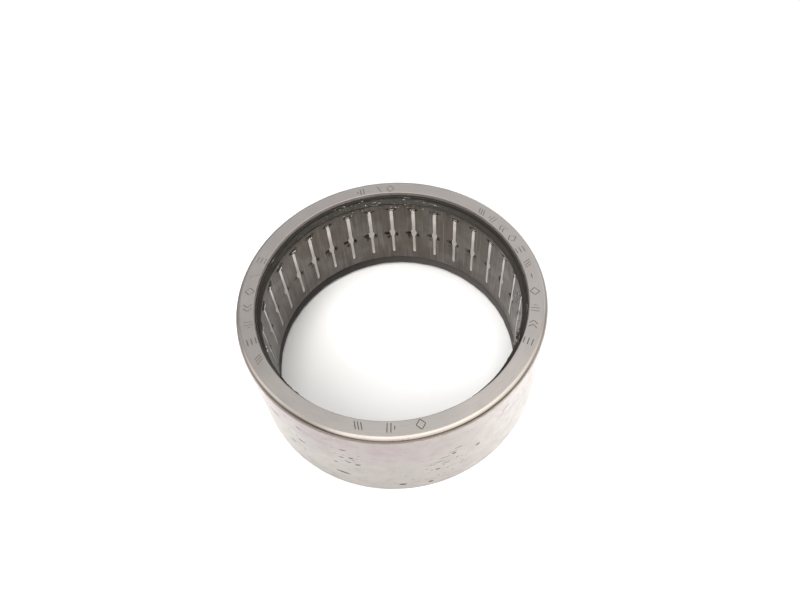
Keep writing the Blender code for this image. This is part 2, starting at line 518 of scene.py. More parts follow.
def cup_material():
    steel = Surface("cup_steel_satin")
    x, y, _ = steel.xyz
    normal_z = steel.split(steel.value("ShaderNodeTexCoord", output="Normal"))[2]
    face = abs(normal_z).ease(over=(0.75, 0.98))  # 1 on the flat faces, 0 on the wall
    corner = cup_corner(steel)

    patch = steel.noise(scale=0.16, detail=5.0).ease(over=(0.38, 0.62))
    stain = steel.noise(scale=0.45, detail=6.0, roughness=0.65, distortion=0.4)
    wall_grain = steel.noise(at=steel.stretched(along=0.12, up=9.0, out=0.0), detail=5.0)
    face_grain = steel.noise(at=steel.stretched(along=0.25, up=0.0, out=11.0), detail=5.0)
    grain = steel.value(
        "ShaderNodeMix", {0: face, 2: wall_grain, 3: face_grain}, data_type="FLOAT"
    )
    speckle = steel.noise(scale=7.0, detail=3.0)

    base = steel.mix(low=cup_wall_colour(steel, patch), high=cup_rim_colour(steel, patch), by=face)
    # Stains, dark grain and speckle, fainter on the flat faces.
    stained = stain.ease(over=(0.54, 0.74)) * face.ease(over=(0.0, 1.0), to=(0.30, 0.12))
    base = steel.mix(low=base, high=(0.215, 0.185, 0.168), by=stained)
    grained = grain.ease(over=(0.40, 0.72)) * face.ease(over=(0.0, 1.0), to=(0.32, 0.20))
    base = steel.mix(low=base, high=(0.235, 0.212, 0.202), by=grained)
    speckled = speckle.ease(over=(0.56, 0.70)) * 0.16
    base = steel.mix(low=base, high=(0.19, 0.168, 0.156), by=speckled)

    pit = cup_pits(steel, face)
    dark = steel.highest([cup_scuffs(steel), pit * 0.55])
    base = steel.mix(low=base, high=(0.055, 0.042, 0.035), by=dark * 0.93)
    base = steel.mix(low=base, high=(0.62, 0.60, 0.58), by=cup_scratches(steel, face) * 0.35)

    # A painted dark reflection on the lower half of the rounded outer corner, at the front only,
    # darker and reaching higher up the corner towards the right.
    steep = abs(normal_z)
    right = x.ease(over=(7.0, 17.0))
    lowered = steep - right * 0.13
    corner_dark_reflection = (lowered.ease(over=(0.68, 0.46)) * steep.ease(over=(-0.02, 0.08))) * (
        corner * y.ease(over=(-12.0, -22.0), to=(0.05, 1.0))
    )
    dark_reflection_colour = steel.mix(low=(0.175, 0.145, 0.118), high=(0.120, 0.100, 0.081), by=right)
    base = steel.mix(low=base, high=dark_reflection_colour, by=corner_dark_reflection * 0.85)

    # The sheared inner edge of each lip is browner and rougher.
    edge = steel.radius.ease(over=(25.68, 25.54)) * steep.ease(over=(0.45, 0.12))
    base = steel.mix(low=base, high=(0.290, 0.268, 0.248), by=edge * 0.8)

    rough = stain.ease(over=(0.3, 0.75), to=(0.29, 0.40)) + (grain - 0.5) * 0.12
    rough = steel.math("SUBTRACT", rough, corner * 0.17, clamp=True)
    rough = steel.math("ADD", rough, dark * 0.3, clamp=True)
    rough = steel.math("ADD", rough, edge * 0.2, clamp=True)
    return steel.finish({
        "Base Color": base,
        "Metallic": 1.0,
        "Roughness": rough,
        "Normal": steel.relief(
            (grain, 0.006, 0.6), (speckle, 0.003, 0.5), (1.0 - pit, 0.03, 0.6)
        ),
    })


def engraving_material():
    steel = Surface("cup_engraving")
    tone = steel.noise(scale=5.0)
    return steel.finish({
        "Base Color": steel.mix(low=(0.20, 0.185, 0.17), high=(0.34, 0.32, 0.30), by=tone),
        "Metallic": 0.9,
        "Roughness": tone.ease(over=(0.3, 0.7), to=(0.45, 0.6)),
        "Normal": steel.relief((tone, 0.01, 0.6)),
    })


def needle_material():
    steel = Surface("needle_steel_ground")
    z = steel.xyz[2]
    lap = steel.noise(at=steel.vector(x=steel.angle * 0.6, y=0.0, z=z * 14.0))
    film = steel.noise(scale=0.55, distortion=0.3)
    base = steel.mix(
        low=(0.510, 0.468, 0.452), high=(0.424, 0.385, 0.368), by=film.ease(over=(0.35, 0.7))
    )
    # Darker near the middle of the length, and each needle a little different.
    middle = abs(z + 1.0).ease(over=(3.0, 6.5), to=(0.70, 0.0))
    base = steel.mix(low=base, high=(0.258, 0.230, 0.217), by=middle)
    own = steel.value("ShaderNodeObjectInfo", output="Random")
    base = steel.mix(low=base, high=(0.34, 0.31, 0.29), by=own * 0.22)
    return steel.finish({
        "Base Color": base,
        "Metallic": 1.0,
        "Roughness": film.ease(over=(0.3, 0.75), to=(0.14, 0.24)) + (lap - 0.5) * 0.08,
        "Normal": steel.relief((lap, 0.0015, 0.5)),
        "Coat Weight": 0.15,
        "Coat Roughness": 0.08,
    })


# Grime and painted shade in the staking marks beside each pocket: centre round the bore and up
# from the cage's middle, half length round and up, all in mm, and how dark it is.
GRIME_AND_SHADE = (
    (1.20, -0.30, 0.80, 0.60, 0.85),
    (-0.93, -0.75, 0.38, 0.75, 0.8),
    (0.95, -1.55, 0.45, 0.60, 0.6),
)
# Oil and painted shade of the gap round the upper end of every pocket, with the same columns.
POCKET_OIL_AND_SHADE = (0.0, 7.58, 1.25, 0.50, 0.92)


# Grime and oil, with painted shade, in the staking marks and round the pockets' upper ends.
def cage_grime_and_shade(sheet):
    # Millimetres from the nearest needle's line, round the bore; anticlockwise is positive.
    turns = (sheet.angle - FIRST_ANGLE) / STEP
    along = (turns - sheet.math("ROUND", turns)) * (STEP * CAGE_R / MM)
    height = sheet.xyz[2] - CAGE_Z / MM
    ragged = (sheet.noise(scale=1.7, detail=3.0) - 0.5) * 1.3

    def blot(centre_along, centre_up, half_along, half_up, amount):
        across = (along - centre_along) / half_along
        upward = (height - centre_up) / half_up
        distance = across * across + upward * upward
        return (distance + ragged).ease(over=(1.25, 0.35)) * amount

    # The grime and painted shade are heavier on one side of the ring, where the staking marks are
    # deepest.
    facing = sheet.math("COSINE", sheet.angle - math.radians(MARKED_AND_SHADED_SIDE))
    uneven = facing.ease(over=(0.35, 0.92), to=(0.22, 1.0))
    grime_and_shade = sheet.highest([blot(*spec) for spec in GRIME_AND_SHADE]) * uneven
    return sheet.highest([grime_and_shade, blot(*POCKET_OIL_AND_SHADE)])


def cage_material():
    sheet = Surface("cage_sheet_oiled")
    cloud = sheet.noise(scale=0.22, detail=5.0, distortion=0.3)
    streak = sheet.noise(
        at=sheet.stretched(along=1.1, up=0.12, out=0.0), detail=5.0, roughness=0.62
    )
    fine = sheet.noise(scale=4.5, roughness=0.62)
    base = sheet.mix(
        low=(0.088, 0.075, 0.062), high=(0.108, 0.097, 0.087), by=cloud.ease(over=(0.35, 0.66))
    )
    streaked = streak.ease(over=(0.46, 0.66)) * 0.7
    base = sheet.mix(low=base, high=(0.062, 0.051, 0.041), by=streaked)
    flecked = fine.ease(over=(0.55, 0.75)) * 0.35
    base = sheet.mix(low=base, high=(0.17, 0.154, 0.138), by=flecked)
    # Pale rub lines along the axis.
    rub = sheet.noise(at=sheet.stretched(along=2.4, up=0.05, out=0.0))
    rubbed = rub.ease(over=(0.56, 0.68)) * 0.5
    base = sheet.mix(low=base, high=(0.20, 0.182, 0.165), by=rubbed)
    # Grime, oil and painted shade at the staking marks and the pockets' upper ends.
    base = sheet.mix(low=base, high=(0.016, 0.013, 0.010), by=cage_grime_and_shade(sheet))
    return sheet.finish({
        "Base Color": base,
        "Metallic": 0.94,
        "Roughness": cloud.ease(over=(0.3, 0.7), to=(0.36, 0.48)) + (fine - 0.5) * 0.12,
        "Normal": sheet.relief((streak, 0.010, 0.6), (fine, 0.006, 0.6)),
        "Coat Weight": cloud.ease(over=(0.45, 0.62), to=(0.0, 0.35)),
        "Coat Roughness": 0.15,
    })


def rubber_material(name, dark, pale, right_paling):
    """Black rubber with glossy streaks, growing paler towards the right up to the amount given."""
    rubber = Surface(name)
    cloud = rubber.noise(scale=0.8, detail=5.0, roughness=0.65, distortion=0.4)
    fine = rubber.noise(scale=9.0, detail=3.0)
    streak = rubber.noise(
        at=rubber.stretched(along=0.35, up=5.0, out=5.0), detail=5.0, roughness=0.65
    )
    base = rubber.mix(low=dark, high=pale, by=cloud)
    paler_right = rubber.xyz[0].ease(over=(-22.0, 26.0), to=(0.0, right_paling))
    base = rubber.mix(low=base, high=(0.085, 0.074, 0.070), by=paler_right)
    streaked = streak.ease(over=(0.56, 0.70)) * 0.7
    base = rubber.mix(low=base, high=(0.062, 0.055, 0.048), by=streaked)
    return rubber.finish({
        "Base Color": base,
        "Roughness": streak.ease(over=(0.35, 0.7), to=(0.50, 0.24)),
        "Specular IOR Level": 0.27,
        "Normal": rubber.relief((streak, 0.06, 0.6), (cloud, 0.05, 0.5), (fine, 0.008, 0.5)),
        "Coat Weight": streak.ease(over=(0.58, 0.68), to=(0.0, 0.7)),
        "Coat Roughness": 0.08,
    })


def bead_material():
    """Drops of oil: dark, very smooth, and bright where they catch a lamp."""
    oil = Surface("oil_beads")
    cloud = oil.noise(scale=2.6, detail=3.0)
    return oil.finish({
        "Base Color": oil.mix(
            low=(0.06, 0.053, 0.045), high=(0.78, 0.75, 0.71), by=cloud.ease(over=(0.35, 0.65))
        ),
        "Metallic": 0.75,
        "Roughness": cloud.ease(over=(0.3, 0.7), to=(0.05, 0.14)),
        "Coat Weight": 1.0,
        "Coat Roughness": 0.03,
        "Normal": oil.relief((cloud, 0.03, 0.5)),
    })


def glint_material():
    """A film of clean oil so smooth that it mirrors the room."""
    oil = Surface("oil_film_bright")
    cloud = oil.noise(scale=3.5, detail=3.0)
    return oil.finish({
        "Base Color": oil.mix(
            low=(0.66, 0.63, 0.59), high=(0.90, 0.88, 0.85), by=cloud.ease(over=(0.3, 0.7))
        ),
        "Metallic": 1.0,
        "Roughness": cloud.ease(over=(0.3, 0.7), to=(0.10, 0.22)),
        "Normal": oil.relief((cloud, 0.02, 0.5)),
    })


def grease_material():
    """Old brown grease: clouded, dark where it is thick, with a wet sheen."""
    grease = Surface("bearing_grease")
    cloud = grease.noise(scale=1.6, distortion=0.3)
    fleck = grease.noise(scale=4.5, detail=3.0)
    base = grease.mix(
        low=(0.045, 0.037, 0.031), high=(0.145, 0.120, 0.104), by=cloud.ease(over=(0.36, 0.62))
    )
    flecked = fleck.ease(over=(0.58, 0.70)) * 0.45
    return grease.finish({
        "Base Color": grease.mix(low=base, high=(0.30, 0.27, 0.25), by=flecked),
        "Roughness": cloud.ease(over=(0.3, 0.7), to=(0.22, 0.42)),
        "Coat Weight": 0.5,
        "Coat Roughness": 0.08,
        "Normal": grease.relief((cloud, 0.04, 0.6)),
    })


def dark_grease_material():
    grease = Surface("bearing_grease_dark")
    cloud = grease.noise(scale=2.2, detail=5.0, roughness=0.65, distortion=0.3)
    return grease.finish({
        "Base Color": grease.mix(
            low=(0.006, 0.0056, 0.005), high=(0.030, 0.027, 0.024), by=cloud
        ),
        "Roughness": cloud.ease(over=(0.3, 0.7), to=(0.12, 0.35)),
        "Coat Weight": 0.2,
        "Normal": grease.relief((cloud, 0.05, 0.8)),
    })


# ------------------------------------------------------------------------- cup
def cup_profile():
    """(radius, z) round the sheet: over the top, down the outer wall and up the raceway."""
    edge = 0.07 * MM  # worn edges of the sheet
    upper_edge = 0.16 * MM
    lower_edge = 0.3 * MM
    lower_lip = LIP_R + 0.12 * MM
    fillet = 0.35 * MM
    corner = OUTER_R - CORNER_R
    # A short flat beside each round keeps the round's shading in its own band.
    flat = 0.03 * MM
    top_flat = (LIP_R + upper_edge + flat, Z_TOP)
    top_end = (corner - flat, Z_TOP)
    bottom_start = (corner - flat, Z_BOTTOM)
    floor = Z_BOTTOM + LIP_THICKNESS
    ceiling = Z_TOP - LIP_THICKNESS
    return [
        *arc(LIP_R + upper_edge, Z_TOP - upper_edge, upper_edge, 180, 90, 6),
        top_flat,
        *between(top_flat, top_end, 6),
        top_end,
        *arc(corner, Z_TOP - CORNER_R, CORNER_R, 90, 0, 16),
        *between((OUTER_R, Z_TOP - CORNER_R), (OUTER_R, Z_BOTTOM + CORNER_R), 10),
        *arc(corner, Z_BOTTOM + CORNER_R, CORNER_R, 0, -90, 16),
        bottom_start,
        *between(bottom_start, (lower_lip + lower_edge, Z_BOTTOM), 5),
        *arc(lower_lip + lower_edge, Z_BOTTOM + lower_edge, lower_edge, -90, -180, 6),
        *arc(lower_lip + edge, floor - edge, edge, 180, 90, 3),
        *arc(RACEWAY_R - fillet, floor + fillet, fillet, -90, 0, 4),
        *between((RACEWAY_R, floor + fillet), (RACEWAY_R, ceiling - fillet), 4),
        *arc(RACEWAY_R - fillet, ceiling - fillet, fillet, 0, 90, 4),
        *arc(LIP_R + edge, ceiling + edge, edge, -90, -180, 3),
    ]


MARK_RADIUS = 26.62  # centre line of the rim marks, in millimetres
MARK_HALF_WIDTH = 0.085 * MM
MARK_DEPTH = 0.12 * MM

# Strokes of each mark in mm: two ends, each (anticlockwise, outward) from the mark's centre.
GLYPHS = {
    "bars": (
        ((-0.62, -0.85), (-0.62, 0.85)),
        ((0.02, -0.85), (0.02, 0.85)),
        ((0.62, -0.35), (0.62, 0.35)),
    ),
    "diamond": (
        ((0.0, -0.9), (0.8, 0.0)),
        ((0.8, 0.0), (0.0, 0.9)),
        ((0.0, 0.9), (-0.8, 0.0)),
        ((-0.8, 0.0), (0.0, -0.9)),
    ),
    "steps": (
        ((-0.7, -0.75), (0.7, -0.75)),
        ((-0.7, 0.0), (0.7, 0.0)),
        ((-0.7, 0.75), (0.7, 0.75)),
    ),
    "hatch": (
        ((-0.85, -0.7), (-0.25, 0.7)),
        ((-0.3, -0.7), (0.3, 0.7)),
        ((0.25, -0.7), (0.85, 0.7)),
    ),
    "arrows": (
        ((-0.75, -0.8), (-0.1, 0.0)),
        ((-0.1, 0.0), (-0.75, 0.8)),
        ((0.1, -0.8), (0.75, 0.0)),
        ((0.75, 0.0), (0.1, 0.8)),
    ),
    "slash": (((-0.45, -0.85), (0.45, 0.85)),),
    "dash": (((-0.55, 0.0), (0.55, 0.0)),),
}

# Degrees round the upper rim and kind of mark, in four groups. They spell nothing.
RIM_MARKS = (
    (103.0, "bars"), (94.5, "slash"), (89.5, "diamond"),
    (45.0, "hatch"), (39.0, "bars"), (32.0, "arrows"), (25.5, "diamond"),
    (18.5, "steps"), (11.0, "hatch"), (4.5, "dash"), (-3.0, "diamond"),
    (-11.0, "bars"), (-18.5, "arrows"), (-26.5, "steps"),
    (279.5, "diamond"), (269.0, "bars"), (257.5, "hatch"),
    (160.5, "steps"), (168.5, "slash"), (176.5, "diamond"), (184.5, "arrows"),
    (192.5, "bars"), (200.5, "steps"), (209.0, "hatch"),
)


def groove(bm, points):
    """A V groove along a run of points on the rim: a closed wedge whose point is down."""
    above = 0.04 * MM
    widening = (MARK_DEPTH + above) / MARK_DEPTH
    rows = []
    for i, (x, y) in enumerate(points):
        before = points[max(i - 1, 0)]
        after = points[min(i + 1, len(points) - 1)]
        heading = Vector((after[0] - before[0], after[1] - before[1]))
        heading.normalize()
        side = Vector((-heading.y, heading.x)) * MARK_HALF_WIDTH
        dx, dy = side.x * widening, side.y * widening
        rows.append((
            bm.verts.new((x + dx, y + dy, Z_TOP + above)),
            bm.verts.new((x - dx, y - dy, Z_TOP + above)),
            bm.verts.new((x, y, Z_TOP - MARK_DEPTH)),
        ))
    for here, there in zip(rows, rows[1:]):
        for i in range(3):
            j = (i + 1) % 3
            bm.faces.new((here[i], here[j], there[j], there[i]))
    bm.faces.new(tuple(reversed(rows[0])))
    bm.faces.new(rows[-1])


def stroke_points(degrees, start, end):
    """Four points of one stroke on the rim, a little short of both its ends."""
    gap = 0.04
    length = math.dist(start, end)
    step_u, step_v = (end[0] - start[0]) / length, (end[1] - start[1]) / length
    start = (start[0] + step_u * gap, start[1] + step_v * gap)
    end = (end[0] - step_u * gap, end[1] - step_v * gap)
    points = []
    for i in range(4):
        along = start[0] + (end[0] - start[0]) * i / 3
        outward = start[1] + (end[1] - start[1]) * i / 3
        radius = (MARK_RADIUS + outward) * MM
        turn = math.radians(degrees + math.degrees(along / MARK_RADIUS))
        points.append((radius * math.cos(turn), radius * math.sin(turn)))
    return points


def engrave(cup):
    # Strokes that meet go in different cutters, so that no cutter crosses itself.
    for parity in (0, 1):

        def build(bm):
            for degrees, kind in RIM_MARKS:
                for start, end in GLYPHS[kind][parity::2]:
                    groove(bm, stroke_points(degrees, start, end))
            bmesh.ops.recalc_face_normals(bm, faces=bm.faces)

        cut(cup, bmesh_object("rim_mark_cutter", build))
    # The engraving's material goes on faces just under the rim.
    for polygon in cup.data.polygons:
        centre = polygon.center
        on_rim = (
            LIP_R + 0.15 * MM
            < math.hypot(centre.x, centre.y)
            < OUTER_R - CORNER_R - 0.02 * MM
        )
        sunk = Z_TOP - 0.2 * MM < centre.z < Z_TOP - 0.004 * MM
        polygon.material_index = int(on_rim and sunk)


def build_cup():
    cup = lathe("cup_shell", cup_profile(), steps=256)
    cup.data.materials.append(cup_material())
    cup.data.materials.append(engraving_material())
    engrave(cup)
    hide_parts("drawn_cup")
    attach(cup, "cup")


# ----------------------------------------------------------------------- seals
# Unevenness of both lips: waves round the ring, height in mm and phase.
LIP_WAVES = ((5, 0.035, 0.7), (11, 0.025, 2.1), (23, 0.018, 0.3), (41, 0.012, 1.9))


def stations(radius, depth, table):
    """Profile points from (radius offset in mm, share of the seal's depth)."""
    return [(radius + offset * MM, SEAL_FACE + share * depth) for offset, share in table]


def seal_profile(face_end, bore, depth):
    """(radius, depth in the cup) of a moulded ring: outer wall, outer face, bore, back."""
    inner = SEAL_FACE + depth
    back = (SEAL_OUTER_R - 0.06 * MM, inner)
    face_start = (SEAL_OUTER_R - SEAL_CHAMFER, SEAL_FACE)
    return [
        (SEAL_OUTER_R, inner - 0.06 * MM),
        (SEAL_OUTER_R, SEAL_FACE + SEAL_CHAMFER),
        face_start,
        *between(face_start, (face_end, SEAL_FACE), 4),
        *bore,
        *between(bore[-1], back, 4),
        back,
    ]


def upper_seal_profile():
    """A rounded edge, a shallow groove and a lip that leans into the bearing."""
    depth, tip = UPPER_SEAL_DEPTH, UPPER_TIP_R
    edge = SEAL_BODY_R + 0.16 * MM
    body_table = ((0.08, 0.17), (0.16, 0.27), (0.15, 0.36), (0.02, 0.46), (-0.18, 0.57))
    back_table = ((0.18, 0.885), (0.36, 0.95), (0.62, 0.99), (0.95, 1.0))
    bore = [
        *arc(edge, SEAL_FACE + 0.12 * MM, 0.12 * MM, -90, -180, 4),
        *stations(SEAL_BODY_R, depth, body_table),
        *stations(tip, depth, ((0.12, 0.71),)),
        *arc(tip + 0.08 * MM, SEAL_FACE + 0.81 * depth, 0.08 * MM, 150, 270, 5),
        *stations(tip, depth, back_table),
    ]
    profile = seal_profile(edge, bore, depth)
    return [(radius, Z_TOP - z) for radius, z in reversed(profile)]


def lower_seal_profile():
    """The lower ring sits the other way up: its lip leans out of the bearing."""
    depth, tip = LOWER_SEAL_DEPTH, LOWER_TIP_R
    body_table = ((0.34, 0.03), (0.20, 0.12), (0.02, 0.10), (-0.22, -0.02))
    back_table = (
        (0.05, 0.04), (0.13, 0.20), (0.28, 0.42), (0.45, 0.64),
        (0.58, 0.80), (0.72, 0.93), (0.95, 1.0),
    )
    bore = [
        *stations(SEAL_BODY_R, depth, body_table),
        *stations(tip, depth, ((0.18, -0.12),)),
        *arc(tip + 0.08 * MM, SEAL_FACE - 0.08 * depth, 0.08 * MM, 270, 165, 5),
        *stations(tip, depth, back_table),
    ]
    profile = seal_profile(SEAL_BODY_R + 0.45 * MM, bore, depth)
    return [(radius, Z_BOTTOM + z) for radius, z in profile]


def warp_lip(mesh, lean):
    """Make the lip slightly uneven, and lean it to one side."""
    lip_root = 25.35 * MM
    for vert in mesh.vertices:
        radius = math.hypot(vert.co.x, vert.co.y)
        if radius >= lip_root:
            continue
        angle = math.atan2(vert.co.y, vert.co.x)
        wave = sum(size * math.sin(count * angle + phase) for count, size, phase in LIP_WAVES)
        wave *= MM
        share = min(1.0, (lip_root - radius) / (0.6 * MM))
        stretch = (radius + wave * share) / radius
        vert.co.x *= stretch
        vert.co.y *= stretch
        vert.co.z += 0.6 * wave * share
        vert.co.x += lean[0] * MM * share
        vert.co.y += lean[1] * MM * share


def build_seal(side, profile, lean, material):
    seal = lathe(f"seal_ring_{side}", profile, steps=256, sharp_angle=50.0)
    warp_lip(seal.data, lean)
    seal.data.materials.append(material)
    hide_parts(f"seal_{side}")
    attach(seal, "cup")


def build_seals():
    upper_rubber = rubber_material(
        "seal_rubber_upper_black",
        dark=(0.011, 0.0098, 0.0085), pale=(0.025, 0.0218, 0.0186), right_paling=0.05,
    )
    lower_rubber = rubber_material(
        "seal_rubber_lower_black",
        dark=(0.009, 0.0075, 0.0070), pale=(0.028, 0.0220, 0.0220), right_paling=0.75,
    )
    build_seal("upper", upper_seal_profile(), UPPER_LEAN, upper_rubber)
    build_seal("lower", lower_seal_profile(), LOWER_LEAN, lower_rubber)


# ------------------------------------------------------------------------ cage
# The cage is cut as single-pocket sectors, centred on +X with their middle at z = 0.
# Staking marks of each kind of sector: y, z, half width, half height and depth in mm, turn.
DEEP_MARKS_ODD = (
    (1.22, -0.28, 0.56, 0.36, 0.42, 8.0),
    (-0.93, -0.78, 0.24, 0.50, 0.32, -14.0),
    (0.92, -1.50, 0.28, 0.34, 0.22, 25.0),
)
DEEP_MARKS_EVEN = (
    (1.12, -0.05, 0.48, 0.30, 0.36, -10.0),
    (1.05, -0.98, 0.34, 0.26, 0.26, 20.0),
    (-0.88, -0.55, 0.22, 0.44, 0.28, -8.0),
)
LIGHT_MARKS = (
    (0.98, -0.42, 0.26, 0.36, 0.20, 10.0),
    (-0.90, -0.65, 0.20, 0.40, 0.18, -10.0),
)
FAINT_MARKS = ((0.92, -0.50, 0.16, 0.28, 0.10, 0.0),)
# Dent over the upper end of every pocket, with the same columns.
POCKET_DENT = (0.0, 7.56, 0.98, 0.24, 0.20, 0.0)


def cage_profile():
    half = CAGE_HALF
    rim = half - 0.6 * MM  # inner face of each rim
    edge = 0.08 * MM
    fold = 0.25 * MM
    return [
        *arc(CAGE_R + edge, half - edge, edge, 180, 90, 3),
        *arc(CAGE_RIM_R - edge, half - edge, edge, 90, 0, 3),
        *arc(CAGE_RIM_R - edge, rim + edge, edge, 0, -90, 3),
        *arc(CAGE_BAR_R + fold, rim - fold, fold, 90, 180, 4),
        *between((CAGE_BAR_R, rim - fold), (CAGE_BAR_R, -rim + fold), 6),
        *arc(CAGE_BAR_R + fold, -rim + fold, fold, 180, 270, 4),
        *arc(CAGE_RIM_R - edge, -rim - edge, edge, 90, 0, 3),
        *arc(CAGE_RIM_R - edge, -half + edge, edge, 0, -90, 3),
        *arc(CAGE_R + edge, -half + edge, edge, -90, -180, 3),
        *between((CAGE_R, -half + edge), (CAGE_R, half - edge), 12),
    ]


def ring_sector(name, profile, half_angle, steps):
    """A closed wedge of a turned ring, centred on +X."""
    verts, faces = [], []
    count = len(profile)
    for k in range(steps + 1):
        turn = -half_angle + 2 * half_angle * k / steps
        for radius, z in profile:
            verts.append((radius * math.cos(turn), radius * math.sin(turn), z))
    for k in range(steps):
        here, there = k * count, (k + 1) * count
        for i in range(count):
            j = (i + 1) % count
            faces.append((here + i, here + j, there + j, there + i))
    faces.append(range(count)[::-1])
    faces.append(range(steps * count, (steps + 1) * count))
    return mesh_object(name, verts, faces)


def pocket(seat_radius, bottom, top):
    """Round seat of the needle, seen from the bore as a narrow slot."""
    sides = 48

    def ring(z):
        return [
            (
                PITCH_R + seat_radius * math.cos(TAU * k / sides),
                seat_radius * math.sin(TAU * k / sides),
                z,
            )
            for k in range(sides)
        ]

    return lambda bm: prism(bm, ring(bottom), ring(top))


def window(outline):
    """An opening of a (y, z) outline, right through the sheet from the bore."""
    inside, outside = CAGE_R - 0.5 * MM, CAGE_RIM_R + 0.5 * MM
    return lambda bm: prism(
        bm, [(inside, y, z) for y, z in outline], [(outside, y, z) for y, z in outline]
    )


def end_window(pocket_end, half_width, depth):
    """A narrower rounded window that goes on past one end of the pocket."""
    overlap = 0.2 * MM
    start = abs(pocket_end) - overlap
    sign = math.copysign(1, pocket_end)
    low, high = sorted((sign * start, sign * (start + overlap + depth)))
    round_r = 0.45 * depth
    y = half_width - round_r
    return window([
        *arc(y, high - round_r, round_r, 0, 90, 5),
        *arc(-y, high - round_r, round_r, 90, 180, 5),
        *arc(-y, low + round_r, round_r, 180, 270, 5),
        *arc(y, low + round_r, round_r, 270, 360, 5),
    ])


def waist():
    """The opening bellies out where the needle is snapped in."""
    sides = 32
    centre_y, centre_z = 0.05 * MM, -0.2 * MM
    half_y, half_z = 0.76 * MM, 1.15 * MM
    turns = [TAU * i / sides for i in range(sides)]
    return window(
        [(centre_y + half_y * math.cos(t), centre_z + half_z * math.sin(t)) for t in turns]
    )


def dent(y, z, half_y, half_z, depth, turn):
    """A mark pressed into the sheet from the bore side."""
    inset = 0.04 * MM

    def build(bm):
        made = bmesh.ops.create_uvsphere(bm, u_segments=20, v_segments=12, radius=1.0)
        place = (
            Matrix.Translation(Vector((CAGE_R - inset, y * MM, z * MM)))
            @ Matrix.Rotation(math.radians(turn), 4, "X")
            @ Matrix.Diagonal((depth * MM + inset, half_y * MM, half_z * MM, 1.0))
        )
        bmesh.ops.transform(bm, matrix=place, verts=made["verts"])

    return build


def cage_sector(marks):
    """One pocket's share of the cage, as (points, faces) without its two flat ends."""
    sector = ring_sector("cage_sheet_part", cage_profile(), half_angle=STEP / 2, steps=20)
    for build in (
        pocket(seat_radius=1.534 * MM, bottom=-0.3 * MM, top=POCKET_TOP),
        pocket(seat_radius=1.514 * MM, bottom=POCKET_BOTTOM, top=-0.25 * MM),
        end_window(POCKET_TOP, half_width=0.30 * MM, depth=0.16 * MM),
        end_window(POCKET_BOTTOM, half_width=0.26 * MM, depth=0.12 * MM),
        dent(*POCKET_DENT),
        waist(),
        *(dent(*mark) for mark in marks),
    ):
        tool = bmesh_object("cage_tool", build)
        recalculate_normals(tool.data)
        cut(sector, tool)
    bm = bmesh.new()
    bm.from_mesh(sector.data)
    limit = STEP / 2 - 1e-5

    def is_end(face):
        ys = [v.co.y for v in face.verts]
        return all(abs(math.atan2(v.co.y, v.co.x)) > limit for v in face.verts) and (
            min(ys) > 0 or max(ys) < 0
        )

    ends = [face for face in bm.faces if is_end(face)]
    bmesh.ops.delete(bm, geom=ends, context="FACES")
    bm.verts.index_update()
    points = [v.co.copy() for v in bm.verts]
    faces = [[v.index for v in face.verts] for face in bm.faces]
    bm.free()
    remove_object(sector)
    return points, faces


def build_cage():
    deep_odd = cage_sector(DEEP_MARKS_ODD)
    deep_even = cage_sector(DEEP_MARKS_EVEN)
    light = cage_sector(LIGHT_MARKS)
    faint = cage_sector(FAINT_MARKS)

    def sector_at(index):
        """The staking marks are deep on the marked side and fade round the rest."""
        turn = math.degrees(needle_angle(index)) % 360
        away = abs((turn - MARKED_AND_SHADED_SIDE + 180) % 360 - 180)
        if away < 26:
            return deep_odd if index % 2 else deep_even
        if away < 52:
            return light
        return faint if index % 3 else light

    verts, faces = [], []
    for i in range(NEEDLES):
        points, loops = sector_at(i)
        turn = Matrix.Rotation(needle_angle(i), 3, "Z")
        offset = len(verts)
        verts += [turn @ point + Vector((0, 0, CAGE_Z)) for point in points]
        faces += [[offset + k for k in loop] for loop in loops]
    cage = mesh_object("cage_sheet", verts, faces)
    # Weld the sectors into one ring.
    bm = bmesh.new()
    bm.from_mesh(cage.data)
    bmesh.ops.remove_doubles(bm, verts=bm.verts, dist=2e-6)
    bmesh.ops.recalc_face_normals(bm, faces=bm.faces)
    bm.to_mesh(cage.data)
    bm.free()
    smooth(cage.data, 32)
    cage.data.materials.append(cage_material())
    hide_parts("cage")
    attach(cage, "cage")


# --------------------------------------------------------------------- needles
def needle_mesh():
    half, edge = NEEDLE_HALF, 0.5 * MM
    end = NEEDLE_R - 0.045 * MM  # the relieved ends stay under the sheet
    needle = lathe(
        "needle_shape",
        [
            (0.0, half),
            (end * 0.45, half),
            *arc(end - edge, half - edge, edge, 90, 0, 6),
            (end, 6.5 * MM),
            *((NEEDLE_R, z * MM) for z in (6.2, 3.0, 0.0, -3.0, -6.2)),
            (end, -6.5 * MM),
            *arc(end - edge, -half + edge, edge, 0, -90, 6),
            (end * 0.45, -half),
            (0.0, -half),
        ],
        steps=48,
        sharp_angle=40.0,
    )
    mesh = needle.data
    mesh.materials.append(needle_material())
    bpy.data.objects.remove(needle, do_unlink=True)
    return mesh


def build_needles():
    shape = needle_mesh()
    for i, node in enumerate(needle_names):
        angle = needle_angle(i)
        roller = link_object(f"roller_{i + 1:02d}", shape)
        roller.location = (PITCH_R * math.cos(angle), PITCH_R * math.sin(angle), CAGE_Z)
        # Each needle has rolled to a different position.
        roller.rotation_euler = (0.0, 0.0, angle + i * 1.7)
        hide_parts(node)
        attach(roller, f"needle_{i + 1:02d}")


# ---------------------------------------------------------------------- grease
# Lengths in this section are in millimetres.
DEGREES_PER_MM = math.degrees(1.0 / 25.0)  # round the bore

# Bore of the upper seal: share of its depth, radius.
SEAL_BORE = (
    (0.0, 25.36), (0.17, 25.28), (0.27, 25.36), (0.36, 25.35), (0.46, 25.22),
    (0.57, 25.02), (0.71, 24.70), (0.81, 24.60), (0.885, 24.76), (1.0, 25.2),
)


